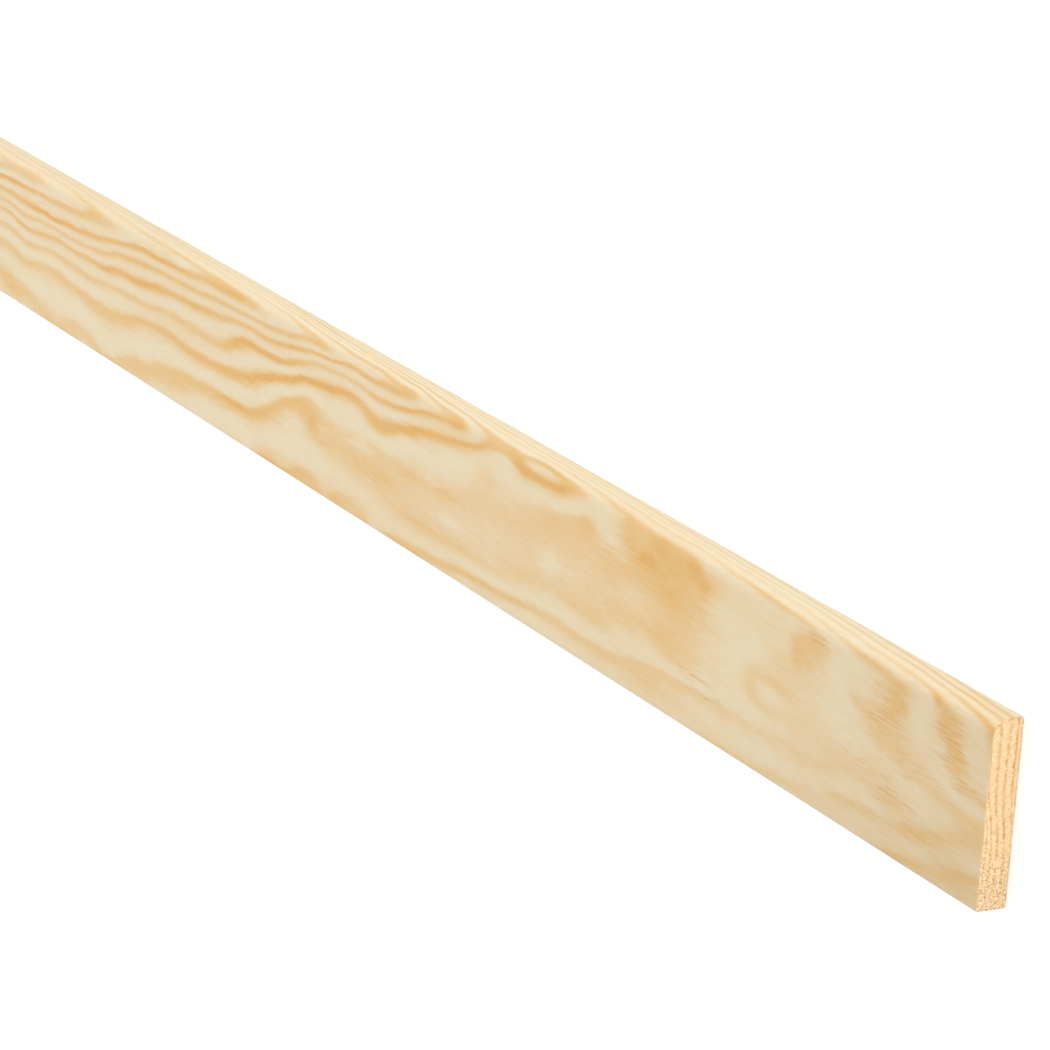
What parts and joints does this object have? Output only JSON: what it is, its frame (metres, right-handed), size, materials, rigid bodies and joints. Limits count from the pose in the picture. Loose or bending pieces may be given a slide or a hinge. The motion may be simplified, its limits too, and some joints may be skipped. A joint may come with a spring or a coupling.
{
  "type": "skirting board",
  "caption": "Plain softwood skirting board length with a rounded upper edge, a flat back and square-sawn ends, for fixing along the foot of a wall.",
  "frame": {"origin": "middle of the flat back, on the surface that the board lies on", "axes": "+X along the board towards the sawn end nearest the viewer, +Y across the face towards the rounded upper edge, +Z out of the front face"},
  "size_m": [2.4, 0.069, 0.012],
  "materials": {
    "pine": "matte"
  },
  "bodies": {
    "root": {"skirting_board": "pine"}
  },
  "joints": []
}
